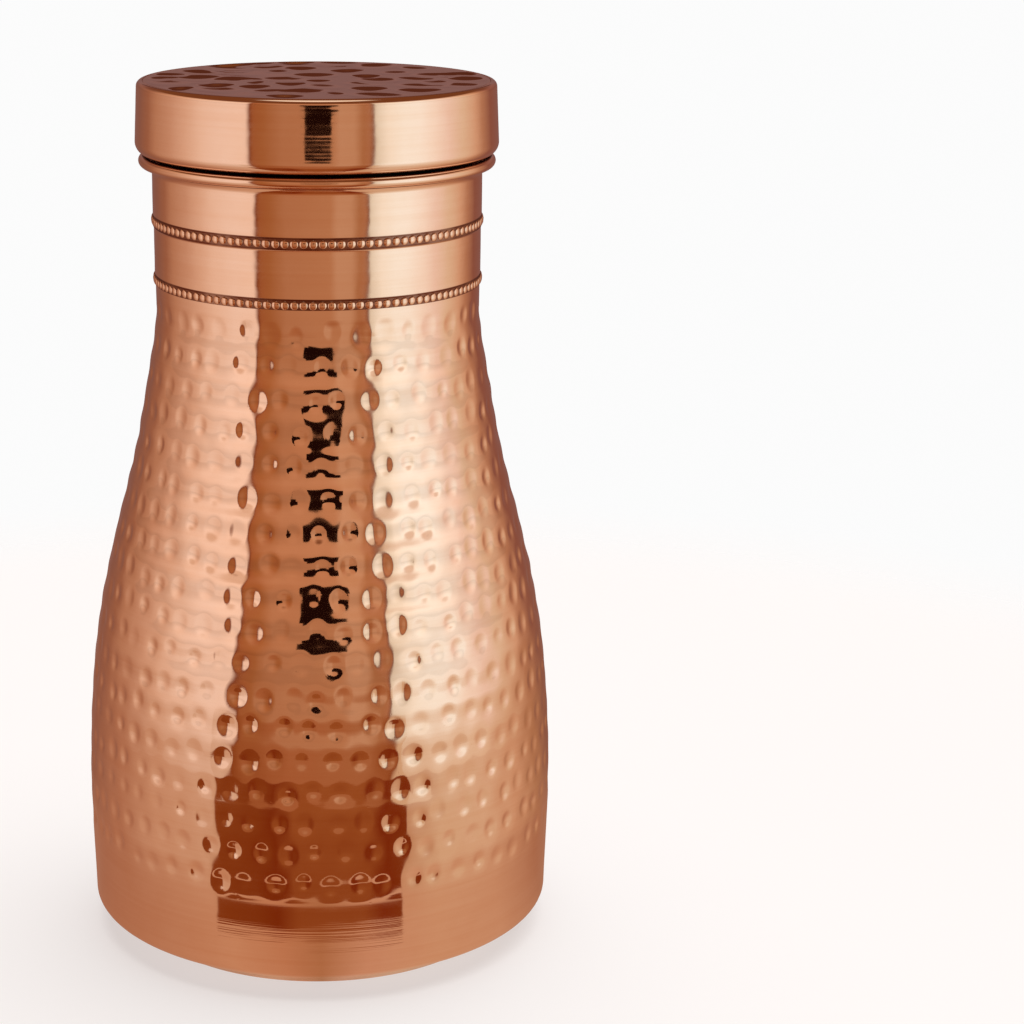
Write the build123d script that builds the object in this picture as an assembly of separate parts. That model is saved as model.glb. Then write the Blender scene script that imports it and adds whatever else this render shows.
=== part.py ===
from build123d import *

import math
import os

# Copper water jug with a tumbler that doubles as its lid.
#
# Frame: millimetres, +Z up, origin on the jug's axis at the plane it stands on, -Y is the front.
#
# The jug is a hammered body shell, a smooth neck collar rolled over a mouth wire, a base plate and two
# beaded rings. The tumbler stands mouth down in the neck: a spun shell whose wide closed end rests on
# the rolled mouth, a hammered disc that closes it, and a lip ring round its drinking edge.
# Every piece is sheet or wire turned about the Z axis.

# Driving dimensions
SHEET = 0.8                 # thickness of all copper sheet
TOTAL_HEIGHT = 220.0        # standing plane to the lid disc
NECK_RADIUS = 41.0          # outside of the neck collar above the upper beaded ring
NECK_LOWER_RADIUS = 40.8    # outside of the neck collar between the rings
BODY_TOP_RADIUS = 40.6      # outside of the body's top edge
NECK_JOINT_HEIGHT = 170.1   # where the collar meets the body's top edge
MOUTH_HEIGHT = 201.8        # top of the rolled mouth
CAP_RADIUS = 45.2           # outside of the tumbler's wide end, at its lower corner
CAP_TOP_RADIUS = 44.4       # and at its upper corner
CAP_HEIGHT = 17.9           # height of the tumbler's wide end
TUMBLER_LENGTH = 69.5       # lid disc to drinking edge
RUNNING_GAP = 0.3           # between tumbler and mouth

# Body shell
BODY_CURVE = [              # (radius, height) of the outside, from the corner up to the neck
    (59.5, 9.0),
    (60.2, 34.0),
    (59.6, 58.0),
    (57.1, 82.0),
    (52.0, 106.0),
    (46.0, 130.0),
    (42.4, 150.0),
]
BODY_STRAIGHT = 6.0         # straight length below the neck joint
CORNER_DROP = 6.2           # height of the rounded bottom corner
CORNER_SLOPE = 35.0         # slope of the underside where the corner ends, degrees
FOOT_OUTER = 47.5           # outer edge of the flat ring the jug stands on
FOOT_INNER = 44.5
WALL_SAMPLES = 12           # points of the wall's inside curve
CORNER_SAMPLES = 6

# Base plate
PLATE_RADIUS = 46.9
PLATE_FLAT = 2.4            # width of the plate's flat rim
PLATE_RISE = 3.0            # the plate is dished up by this much at its centre

# Neck collar and mouth wire
WIRE_RADIUS = 0.55
MOUTH_FLARE = 1.4           # how far the collar's wall opens out below the roll
FLARE_HEIGHT = 3.2          # height of that stretch
STEP_HEIGHT = 184.4         # the collar steps in here, under the upper beaded ring
STEP_DROP = 0.4
SPIGOT_LENGTH = 5.0         # collar length inside the body's top edge
ROLL_END_ANGLE = -118.0     # where the rolled sheet ends, degrees from outward

# Beaded rings
BEAD_RINGS = {              # seat radius and height of each
    "upper_bead_ring": (NECK_RADIUS, 185.8),
    "lower_bead_ring": (NECK_LOWER_RADIUS, 171.1),
}
BEAD_COUNT = 114
BEAD_RADIUS = 1.4
BEAD_SINK = 0.95            # bead centre behind the neck's surface
STRIP_WIDTH = 2.3
STRIP_THICKNESS = 0.2

# Tumbler
LIP_WALL_RADIUS = 37.6      # outside of the wall at the drinking edge
CAP_LOWER_ROUND = 3.0
CAP_UPPER_ROUND = 1.4
DISC_RADIUS = 42.9
DISC_LEDGE = 2.5            # how far the ledge under the disc reaches in
LIP_RING_HEIGHT = 3.2
LIP_RING_THICKNESS = 0.75
LIP_RING_ROUND = 0.35
LIP_SEAM_WIDTH = 0.8        # the gap where the lip ring's ends meet
LIP_SEAM_ANGLE = 233.0      # place of that gap, degrees from +X

# Heights and radii that follow
NECK_BORE = NECK_RADIUS - SHEET
NECK_LOWER_BORE = NECK_LOWER_RADIUS - SHEET
BODY_TOP_BORE = BODY_TOP_RADIUS - SHEET
ROLL_RADIUS = WIRE_RADIUS + SHEET
ROLL_CENTRE = (NECK_RADIUS + MOUTH_FLARE + WIRE_RADIUS, MOUTH_HEIGHT - ROLL_RADIUS)
FLARE_BOTTOM = ROLL_CENTRE[1] - FLARE_HEIGHT
CAP_BOTTOM = TOTAL_HEIGHT - CAP_HEIGHT
LIP_HEIGHT = TOTAL_HEIGHT - TUMBLER_LENGTH
THROAT_ROUND = ROLL_RADIUS + RUNNING_GAP
THROAT_RADIUS = NECK_BORE - RUNNING_GAP


def at(radius, height):
    """A point of a section, which lies in the XZ plane."""
    return Vector(radius, 0, height)


def turned(*edges):
    """The solid that a closed section makes when it is turned about the Z axis."""
    return revolve(Face(Wire(edges)), axis=Axis.Z)


def rounded(corners):
    """Edges of a closed section from (radius, height, rounding) corners, given in order."""
    points = [at(r, z) for r, z, _ in corners]
    count = len(points)
    starts, ends, middles = [], [], []
    for i, (_, _, rounding) in enumerate(corners):
        here = points[i]
        back = (points[i - 1] - here).normalized()
        on = (points[(i + 1) % count] - here).normalized()
        half = math.radians(back.get_angle(on)) / 2
        reach = rounding / math.tan(half)
        starts.append(here + back * reach)
        ends.append(here + on * reach)
        bisector = (back + on).normalized()
        middles.append(here + bisector * (rounding / math.sin(half) - rounding))
    edges = []
    for i, (_, _, rounding) in enumerate(corners):
        if rounding:
            edges.append(ThreePointArc(starts[i], middles[i], ends[i]))
        edges.append(Line(ends[i], starts[(i + 1) % count]))
    return edges


def inside_of(edge, samples):
    """A spline one sheet thickness to the left of an edge, as seen with the axis on the left."""
    points = []
    for i in range(samples + 1):
        along = edge % (i / samples)
        points.append(edge @ (i / samples) + Vector(-along.Z, 0, along.X) * SHEET)
    return Spline(*points, tangents=[edge % 0, edge % 1])


def body_shell():
    """The hammered body: a wide, softly tapered barrel drawn in to the neck, turned in at the foot."""
    straight_bottom = NECK_JOINT_HEIGHT - BODY_STRAIGHT
    upright = Vector(0, 0, 1)
    wall_start = Vector(0.02, 0, 1).normalized()
    wall = Spline(
        *[at(r, z) for r, z in BODY_CURVE],
        at(BODY_TOP_RADIUS, straight_bottom),
        tangents=[wall_start, upright],
    )
    slope = math.radians(CORNER_SLOPE)
    corner_end_height = BODY_CURVE[0][1] - CORNER_DROP
    corner_end = at(FOOT_OUTER + corner_end_height / math.tan(slope), corner_end_height)
    corner = Spline(
        corner_end,
        wall @ 0,
        tangents=[Vector(math.cos(slope), 0, math.sin(slope)), wall_start],
    )
    wall_inside = inside_of(wall, WALL_SAMPLES)
    corner_inside = inside_of(corner, CORNER_SAMPLES)
    foot_inside = at(FOOT_OUTER - SHEET * math.tan(slope / 2), SHEET)
    return turned(
        Line(at(FOOT_INNER, 0), at(FOOT_OUTER, 0)),
        Line(at(FOOT_OUTER, 0), corner_end),
        corner,
        wall,
        Line(wall @ 1, at(BODY_TOP_RADIUS, NECK_JOINT_HEIGHT)),
        Line(at(BODY_TOP_RADIUS, NECK_JOINT_HEIGHT), at(BODY_TOP_BORE, NECK_JOINT_HEIGHT)),
        Line(at(BODY_TOP_BORE, NECK_JOINT_HEIGHT), wall_inside @ 1),
        wall_inside,
        corner_inside,
        Line(corner_inside @ 0, foot_inside),
        Line(foot_inside, at(FOOT_INNER, SHEET)),
        Line(at(FOOT_INNER, SHEET), at(FOOT_INNER, 0)),
    )


def base_plate():
    """A disc brazed on the turned-in foot, flat at its rim and dished upwards in the middle."""
    flat_inner = PLATE_RADIUS - PLATE_FLAT
    low, high = SHEET, SHEET * 2
    return turned(
        Line(at(0, low + PLATE_RISE), at(0, high + PLATE_RISE)),
        Spline(
            at(0, high + PLATE_RISE), at(flat_inner, high),
            tangents=[Vector(1, 0, 0), Vector(1, 0, 0)],
        ),
        Line(at(flat_inner, high), at(PLATE_RADIUS, high)),
        Line(at(PLATE_RADIUS, high), at(PLATE_RADIUS, low)),
        Line(at(PLATE_RADIUS, low), at(flat_inner, low)),
        Spline(
            at(flat_inner, low), at(0, low + PLATE_RISE),
            tangents=[Vector(-1, 0, 0), Vector(-1, 0, 0)],
        ),
    )


def on_roll(radius, angle):
    """A point round the mouth wire's centre, at an angle in degrees from outward."""
    turn = math.radians(angle)
    return at(
        ROLL_CENTRE[0] + radius * math.cos(turn), ROLL_CENTRE[1] + radius * math.sin(turn)
    )


def neck_collar():
    """The smooth collar: a spigot inside the body, the neck wall, and a mouth rolled over the wire."""
    roll_middle = (180 + ROLL_END_ANGLE) / 2
    spigot_bottom = NECK_JOINT_HEIGHT - SPIGOT_LENGTH
    spigot_bore = BODY_TOP_BORE - SHEET
    step_bottom = STEP_HEIGHT - STEP_DROP
    upright, downward = Vector(0, 0, 1), Vector(0, 0, -1)
    return turned(
        Line(at(spigot_bore, spigot_bottom), at(BODY_TOP_BORE, spigot_bottom)),
        Line(at(BODY_TOP_BORE, spigot_bottom), at(BODY_TOP_BORE, NECK_JOINT_HEIGHT)),
        Line(at(BODY_TOP_BORE, NECK_JOINT_HEIGHT), at(NECK_LOWER_RADIUS, NECK_JOINT_HEIGHT)),
        Line(at(NECK_LOWER_RADIUS, NECK_JOINT_HEIGHT), at(NECK_LOWER_RADIUS, step_bottom)),
        Line(at(NECK_LOWER_RADIUS, step_bottom), at(NECK_RADIUS, STEP_HEIGHT)),
        Line(at(NECK_RADIUS, STEP_HEIGHT), at(NECK_RADIUS, FLARE_BOTTOM)),
        Spline(
            at(NECK_RADIUS, FLARE_BOTTOM), on_roll(WIRE_RADIUS, 180), tangents=[upright, upright],
        ),
        ThreePointArc(
            on_roll(WIRE_RADIUS, 180),
            on_roll(WIRE_RADIUS, roll_middle),
            on_roll(WIRE_RADIUS, ROLL_END_ANGLE),
        ),
        Line(on_roll(WIRE_RADIUS, ROLL_END_ANGLE), on_roll(ROLL_RADIUS, ROLL_END_ANGLE)),
        ThreePointArc(
            on_roll(ROLL_RADIUS, ROLL_END_ANGLE),
            on_roll(ROLL_RADIUS, roll_middle),
            on_roll(ROLL_RADIUS, 180),
        ),
        Spline(
            on_roll(ROLL_RADIUS, 180), at(NECK_BORE, FLARE_BOTTOM), tangents=[downward, downward],
        ),
        Line(at(NECK_BORE, FLARE_BOTTOM), at(NECK_BORE, STEP_HEIGHT)),
        Line(at(NECK_BORE, STEP_HEIGHT), at(NECK_LOWER_BORE, step_bottom)),
        Line(at(NECK_LOWER_BORE, step_bottom), at(NECK_LOWER_BORE, NECK_JOINT_HEIGHT + SHEET)),
        Line(at(NECK_LOWER_BORE, NECK_JOINT_HEIGHT + SHEET), at(spigot_bore, NECK_JOINT_HEIGHT)),
        Line(at(spigot_bore, NECK_JOINT_HEIGHT), at(spigot_bore, spigot_bottom)),
    )


def mouth_wire():
    """The round wire that stiffens the rolled mouth."""
    return Pos(0, 0, ROLL_CENTRE[1]) * Torus(ROLL_CENTRE[0], WIRE_RADIUS)


def bead_ring(seat_radius, height):
    """Flat-backed beaded wire: a thin strip round the neck with half-sunk beads along it."""
    neck = Cylinder(seat_radius, 4 * BEAD_RADIUS)
    strip = Cylinder(seat_radius + STRIP_THICKNESS, STRIP_WIDTH) - neck
    bead = Pos(seat_radius - BEAD_SINK, 0, 0) * Sphere(BEAD_RADIUS) - neck
    beads = [Rot(0, 0, 360 / BEAD_COUNT * i) * bead for i in range(BEAD_COUNT)]
    return Pos(0, 0, height) * strip.fuse(*beads)


def tumbler_shell():
    """The tumbler's wall: a tapered drinking wall that steps out to the wide end, with a disc ledge."""
    throat_slope = (THROAT_RADIUS - LIP_WALL_RADIUS) / (CAP_BOTTOM - LIP_HEIGHT)
    throat_bore = THROAT_RADIUS - SHEET + throat_slope * SHEET
    ledge_top = TOTAL_HEIGHT - SHEET
    ledge_edge = DISC_RADIUS - DISC_LEDGE
    return turned(*rounded([
        (LIP_WALL_RADIUS - SHEET, LIP_HEIGHT, 0),
        (LIP_WALL_RADIUS, LIP_HEIGHT, 0),
        (THROAT_RADIUS, CAP_BOTTOM, THROAT_ROUND),
        (CAP_RADIUS, CAP_BOTTOM, CAP_LOWER_ROUND),
        (CAP_TOP_RADIUS, TOTAL_HEIGHT, CAP_UPPER_ROUND),
        (DISC_RADIUS, TOTAL_HEIGHT, 0),
        (DISC_RADIUS, ledge_top, 0),
        (ledge_edge, ledge_top, 0),
        (ledge_edge, ledge_top - SHEET, 0),
        (CAP_TOP_RADIUS - SHEET, ledge_top - SHEET, CAP_UPPER_ROUND - SHEET),
        (CAP_RADIUS - SHEET, CAP_BOTTOM + SHEET, CAP_LOWER_ROUND - SHEET),
        (throat_bore, CAP_BOTTOM + SHEET, THROAT_ROUND + SHEET),
    ]))


def lid_disc():
    """The hammered disc that closes the tumbler and is the lid's top."""
    return Pos(0, 0, TOTAL_HEIGHT - SHEET / 2) * Cylinder(DISC_RADIUS, SHEET)


def lip_ring():
    """A strip wrapped round the drinking edge, with a gap where its ends meet."""
    slope = (THROAT_RADIUS - LIP_WALL_RADIUS) / (CAP_BOTTOM - LIP_HEIGHT)
    inner_top = LIP_WALL_RADIUS + slope * LIP_RING_HEIGHT
    top = LIP_HEIGHT + LIP_RING_HEIGHT
    ring = turned(*rounded([
        (LIP_WALL_RADIUS, LIP_HEIGHT, 0),
        (LIP_WALL_RADIUS + LIP_RING_THICKNESS, LIP_HEIGHT, LIP_RING_ROUND),
        (inner_top + LIP_RING_THICKNESS, top, LIP_RING_ROUND),
        (inner_top, top, 0),
    ]))
    length = 4 * LIP_RING_THICKNESS
    gap = Pos(LIP_WALL_RADIUS + length / 4, 0, top) * Box(length, LIP_SEAM_WIDTH, 4 * LIP_RING_HEIGHT)
    return ring - Rot(0, 0, LIP_SEAM_ANGLE) * gap


def main():
    parts = {
        "body_shell": body_shell(),
        "base_plate": base_plate(),
        "neck_collar": neck_collar(),
        "mouth_wire": mouth_wire(),
        "tumbler_shell": tumbler_shell(),
        "lid_disc": lid_disc(),
        "lip_ring": lip_ring(),
    }
    for name, (seat_radius, height) in BEAD_RINGS.items():
        parts[name] = bead_ring(seat_radius, height)
    os.makedirs("parts", exist_ok=True)
    for name, part in parts.items():
        export_step(part, f"parts/{name}.step")


main()
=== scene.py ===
import math

import bpy
import numpy as np
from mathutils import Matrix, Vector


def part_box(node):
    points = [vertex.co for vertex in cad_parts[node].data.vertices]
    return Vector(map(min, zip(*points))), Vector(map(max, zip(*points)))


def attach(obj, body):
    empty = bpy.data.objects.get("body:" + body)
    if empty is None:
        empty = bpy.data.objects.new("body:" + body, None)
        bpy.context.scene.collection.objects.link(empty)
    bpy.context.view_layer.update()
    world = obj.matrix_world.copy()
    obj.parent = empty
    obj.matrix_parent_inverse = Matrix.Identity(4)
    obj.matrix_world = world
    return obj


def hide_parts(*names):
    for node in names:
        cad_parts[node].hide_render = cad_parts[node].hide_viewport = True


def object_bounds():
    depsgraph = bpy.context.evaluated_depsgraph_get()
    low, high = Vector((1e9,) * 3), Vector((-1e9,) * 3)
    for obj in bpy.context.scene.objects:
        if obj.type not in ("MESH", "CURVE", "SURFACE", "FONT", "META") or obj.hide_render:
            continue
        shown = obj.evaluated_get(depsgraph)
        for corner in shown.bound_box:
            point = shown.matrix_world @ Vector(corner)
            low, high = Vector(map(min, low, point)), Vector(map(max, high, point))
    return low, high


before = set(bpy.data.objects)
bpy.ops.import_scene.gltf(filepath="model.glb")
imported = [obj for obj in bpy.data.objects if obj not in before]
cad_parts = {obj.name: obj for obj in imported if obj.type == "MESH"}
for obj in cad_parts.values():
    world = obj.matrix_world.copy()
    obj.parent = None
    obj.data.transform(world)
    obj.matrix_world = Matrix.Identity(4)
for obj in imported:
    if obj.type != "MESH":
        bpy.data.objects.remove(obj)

# A hammered copper water jug whose lid is a tumbler standing mouth down in the neck.
# Metres, +Z up, the jug's axis is Z and -Y is the front. Lengths written in millimetres carry * MM.
MM = 0.001
CAD_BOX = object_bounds()

# Sizes that the frame gives
BODY_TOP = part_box("body_shell")[1].z
MOUTH_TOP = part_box("neck_collar")[1].z
MOUTH_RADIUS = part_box("neck_collar")[1].x
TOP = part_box("lid_disc")[1].z
DISC_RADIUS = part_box("lid_disc")[1].x
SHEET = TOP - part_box("lid_disc")[0].z
LIP_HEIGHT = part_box("tumbler_shell")[0].z
PLATE_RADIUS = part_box("base_plate")[1].x
UPPER_RING_HEIGHT = sum(c.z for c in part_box("upper_bead_ring")) / 2
LOWER_RING_HEIGHT = sum(c.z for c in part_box("lower_bead_ring")) / 2
WIRE_RADIUS = (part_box("mouth_wire")[1].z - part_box("mouth_wire")[0].z) / 2

# The body's outside, as (radius, height) in millimetres, and the foot it stands on
BODY_CURVE = [
    (59.5, 9.0), (60.2, 34.0), (59.6, 58.0), (57.1, 82.0), (52.0, 106.0), (46.0, 130.0), (42.4, 150.0),
    (40.6, 164.1),
]
BODY_RISE = (0.02, 1)  # direction of the wall at the curve's lower end
CORNER_SLOPE = math.radians(35)
CORNER_END_HEIGHT = 2.8 * MM
FOOT_OUTER = 47.5 * MM
FOOT_INNER = 44.5 * MM
PLATE_FLAT = 2.4 * MM
AXIS_HOLE = 0.15 * MM  # radius that the base disc's section starts at

# Neck and mouth
NECK_RADIUS = 41.0 * MM
COLLAR_RADIUS = 40.8 * MM
BODY_TOP_RADIUS = 40.6 * MM
STEP_HEIGHT = 184.4 * MM
STEP_DROP = 0.4 * MM
FLARE_HEIGHT = 3.2 * MM
SPIGOT_LENGTH = 5.0 * MM
ROLL_END_ANGLE = -118  # degrees from outward
ROLL_RADIUS = WIRE_RADIUS + SHEET
ROLL_CENTRE = (MOUTH_RADIUS - ROLL_RADIUS, MOUTH_TOP - ROLL_RADIUS)

# Beaded rings
BEAD_COUNT = 114
BEAD_STANDS_OUT = 0.45 * MM
BEAD_HALF_WIDTH = 1.07 * MM
BEAD_HALF_HEIGHT = 1.08 * MM
STRIP_WIDTH = 2.3 * MM
STRIP_THICKNESS = 0.07 * MM
STRIP_STEPS = 456
BEAD_RINGS = 9  # rings of faces over a bead, and faces round it
BEAD_AROUND = 22
BEAD_STRAY = 0.05  # share of a bead's turn by which beads stray
BEAD_LIFT = 0.04 * MM  # and how far they stray up or down

# Tumbler
CAP_BOTTOM = 202.1 * MM
CAP_RADIUS = 45.2 * MM
CAP_TOP_RADIUS = 44.4 * MM
CAP_LOWER_ROUND = 3.0 * MM
CAP_UPPER_ROUND = 1.4 * MM
THROAT_RADIUS = 39.9 * MM
THROAT_ROUND = 1.65 * MM
LIP_WALL_RADIUS = 37.6 * MM
DISC_LEDGE = 2.5 * MM
DISC_ROUND = 0.3 * MM
LIP_RING_HEIGHT = 3.2 * MM
LIP_RING_THICKNESS = 0.75 * MM
LIP_RING_ROUND = 0.35 * MM
LIP_SEAM_ANGLE = math.radians(233)
LIP_SEAM_WIDTH = 0.8 * MM
WALL_SLOPE = (THROAT_RADIUS - LIP_WALL_RADIUS) / (CAP_BOTTOM - LIP_HEIGHT)

# Hammer marks on the body, in rows: a dent and the wider, shallower halo pressed in round it. Each row
# also steps the wall a little, like lapped boards
MARK_SPACING = 6.9 * MM
ROW_SPACING = 7.9 * MM
MARK_RADIUS = 2.35 * MM
MARK_DEPTH = 0.24 * MM
HALO_RADIUS = 4.3 * MM
HALO_DEPTH = 0.065 * MM
ROW_STEP = 0.085 * MM
ROW_STRAY = 0.04  # shares of the spacing by which rows and marks stray
MARK_STRAY_ROUND = 0.15
MARK_STRAY_UP = 0.1
ROW_PHASES = (0.3, 0.7)  # ranges that each row or mark draws from
MARK_SCALES = (0.8, 1.15)
MARK_FORCES = (0.55, 1.35)
MARK_TALLNESS = (1.0, 1.3)
HAMMERED_FROM = 27.0 * MM
HAMMERED_TO = 167.0 * MM
TURNED_TO = 21.5 * MM  # deeper turning lines below this height
RIM_DROP = 0.25 * MM  # the wall's last point below the rim

# Hammer marks on the lid: how far apart they are, and the ranges that each draws from
LID_TRIES = 6000  # spots tried for a mark; about 50 find room
LID_MARK_SPACING = 8.6 * MM
LID_MARK_RADII = (3.8, 7.8)  # millimetres
LID_MARK_DEPTHS = (0.26, 0.60)  # millimetres
LID_MARK_SHAPES = (0.6, 1.5)  # length over width

DENT_SOFTNESS = 1.45  # how gently a mark's rim fades out
SHARP_ANGLE = math.radians(38)  # edges that turn more than this are shaded sharp


# ---------------------------------------------------------------- sections

def arc(centre, radius, start, end, steps):
    """Points round a circle, angles in degrees."""
    turns = np.radians(np.linspace(start, end, steps + 1))
    return np.stack([centre[0] + radius * np.cos(turns), centre[1] + radius * np.sin(turns)], 1)


def line(start, end, spacing):
    """Evenly spaced points from start to end."""
    start, end = np.array(start), np.array(end)
    steps = max(1, round(np.linalg.norm(end - start) / spacing))
    return start + (end - start) * np.linspace(0, 1, steps + 1)[:, None]


def smooth_curve(points, start_direction, end_direction, spacing):
    """Evenly spaced points along a curvature-continuous curve through the given points."""
    points = np.array(points, float)
    gaps = np.linalg.norm(np.diff(points, axis=0), axis=1)
    knots = np.concatenate([[0], np.cumsum(gaps)])
    count = len(points)
    system, right = np.eye(count), np.zeros((count, 2))
    right[0] = np.array(start_direction) / np.linalg.norm(start_direction)
    right[-1] = np.array(end_direction) / np.linalg.norm(end_direction)
    for i in range(1, count - 1):
        before, after = gaps[i - 1], gaps[i]
        system[i, i - 1:i + 2] = after, 2 * (before + after), before
        right[i] = 3 * (
            after * (points[i] - points[i - 1]) / before + before * (points[i + 1] - points[i]) / after
        )
    slopes = np.linalg.solve(system, right)
    along = np.linspace(0, knots[-1], max(2, round(knots[-1] / spacing)) + 1)
    left = np.clip(np.searchsorted(knots, along, "right") - 1, 0, count - 2)
    gap = gaps[left][:, None]
    t = ((along - knots[left])[:, None]) / gap
    return (
        (2 * t**3 - 3 * t**2 + 1) * points[left] + (t**3 - 2 * t**2 + t) * gap * slopes[left]
        + (3 * t**2 - 2 * t**3) * points[left + 1] + (t**3 - t**2) * gap * slopes[left + 1]
    )


def joined(*runs):
    """One run of points, without the repeats where runs meet."""
    points = np.concatenate(runs)
    keep = np.linalg.norm(np.diff(points, axis=0, prepend=points[-1:]), axis=1) > 1e-7
    return points[keep]


def leftward(points):
    """Unit vectors to the left of an open run of points."""
    along = np.gradient(points, axis=0)
    along /= np.linalg.norm(along, axis=1)[:, None]
    return np.stack([-along[:, 1], along[:, 0]], 1)


def rounded(corners, spacing, arc_steps):
    """A closed section from (radius, height, rounding) corners."""
    points = [np.array(c[:2]) for c in corners]
    count, runs, ends = len(corners), [], []
    for i, (_, _, rounding) in enumerate(corners):
        back = points[i - 1] - points[i]
        on = points[(i + 1) % count] - points[i]
        back, on = back / np.linalg.norm(back), on / np.linalg.norm(on)
        half = math.acos(np.clip(back @ on, -1, 1)) / 2
        start = points[i] + back * rounding / math.tan(half)
        end = points[i] + on * rounding / math.tan(half)
        middle = (back + on) / np.linalg.norm(back + on)
        centre = points[i] + middle * rounding / math.sin(half)
        first = math.atan2(*(start - centre)[::-1])
        turn = (math.atan2(*(end - centre)[::-1]) - first + math.pi) % (2 * math.pi) - math.pi
        if rounding:
            first, turn = math.degrees(first), math.degrees(turn)
            ends.append(arc(centre, rounding, first, first + turn, arc_steps))
        else:
            ends.append(points[i][None])
    for i in range(count):
        runs += [ends[i], line(ends[i][-1], ends[(i + 1) % count][0], spacing)]
    return joined(*runs)


# ---------------------------------------------------------------- meshes

def make_piece(name, vertices, faces, materials, body, nodes):
    """A Blender object from a mesh, riding on a body in place of CAD nodes."""
    mesh = bpy.data.meshes.new(name)
    mesh.from_pydata(vertices.tolist(), [], faces)
    mesh.polygons.foreach_set("use_smooth", np.ones(len(mesh.polygons), bool))
    mesh.set_sharp_from_angle(angle=SHARP_ANGLE)
    for material in materials:
        mesh.materials.append(material)
    piece = bpy.data.objects.new(name, mesh)
    bpy.context.scene.collection.objects.link(piece)
    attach(piece, body)
    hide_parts(*nodes)
    return piece


def round_angles(steps):
    """Evenly spaced angles round the axis."""
    return np.arange(steps) * 2 * math.pi / steps


def turned(section, steps, offset=None, closed=True):
    """Vertices and quads of a section turned about Z. offset is a shift in the section's plane.

    A section that runs up on its outer side and down on its inner side gives faces that face outwards.
    """
    angles = round_angles(steps)
    flat = np.broadcast_to(section[:, None, :], (len(section), steps, 2))
    if offset is not None:
        flat = flat + offset
    radius, height = flat[..., 0], flat[..., 1]
    vertices = np.stack([radius * np.cos(angles), radius * np.sin(angles), height], 2)
    rows = len(section) if closed else len(section) - 1
    row = np.arange(rows)[:, None] * steps
    next_row = (np.arange(1, rows + 1) % len(section))[:, None] * steps
    column = np.arange(steps)
    next_column = (column + 1) % steps
    faces = np.stack([row + column, row + next_column, next_row + next_column, next_row + column], 2)
    return vertices.reshape(-1, 3), faces.reshape(-1, 4).tolist()


def capped(vertices, faces, steps):
    """Closes the small holes that an open section leaves at the axis, with one vertex each."""
    base = len(vertices) - steps
    centres = [(0, 0, vertices[:steps, 2].mean()), (0, 0, vertices[base:, 2].mean())]
    start, end = len(vertices), len(vertices) + 1
    for k in range(steps):
        after = (k + 1) % steps
        faces += [[start, after, k], [end, base + k, base + after]]
    return np.concatenate([vertices, centres]), faces


def waves(angles, lengths, seed, wavelength, height, count=24, radius=50 * MM):
    """Gentle unevenness: a sum of waves in all directions that closes on itself round the axis.

    radius turns a wavelength into a whole number of waves round the axis.
    """
    draw = np.random.default_rng(seed)
    total = np.zeros((len(lengths), len(angles)))
    for _ in range(count):
        direction = draw.uniform(0, math.pi)
        wave = 2 * math.pi / (wavelength * draw.uniform(0.7, 1.5))
        round_turns = round(wave * math.cos(direction) * radius)
        total += np.cos(
            round_turns * angles[None, :] + wave * math.sin(direction) * lengths[:, None]
            + draw.uniform(0, 2 * math.pi)
        )
    return total * height / math.sqrt(count / 2)


def turning_rings(angles, lengths, seed, height, count=14, widths=(0.8, 1.6)):
    """Fine rings left by turning, by (length along wall, angle). They come and go round the wall.

    widths is the range of a ring's width, in millimetres.
    """
    draw = np.random.default_rng(seed)
    total = np.zeros((len(lengths), len(angles)))
    for _ in range(count):
        wave = 2 * math.pi / (draw.uniform(*widths) * MM)
        fade = 0.5 + 0.5 * np.cos(draw.integers(1, 5) * angles + draw.uniform(0, 2 * math.pi))
        total += np.cos(wave * lengths + draw.uniform(0, 2 * math.pi))[:, None] * fade
    return total * height / math.sqrt(count)


def add_mark(relief, across, along, radius, depth, tall):
    """Sinks one round or oval hammer mark into a relief, given the distances from its middle."""
    far = np.sqrt((across / radius) ** 2 + (along / (radius * tall)) ** 2)
    relief -= depth * np.clip(1 - far**2, 0, None) ** DENT_SOFTNESS


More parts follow.
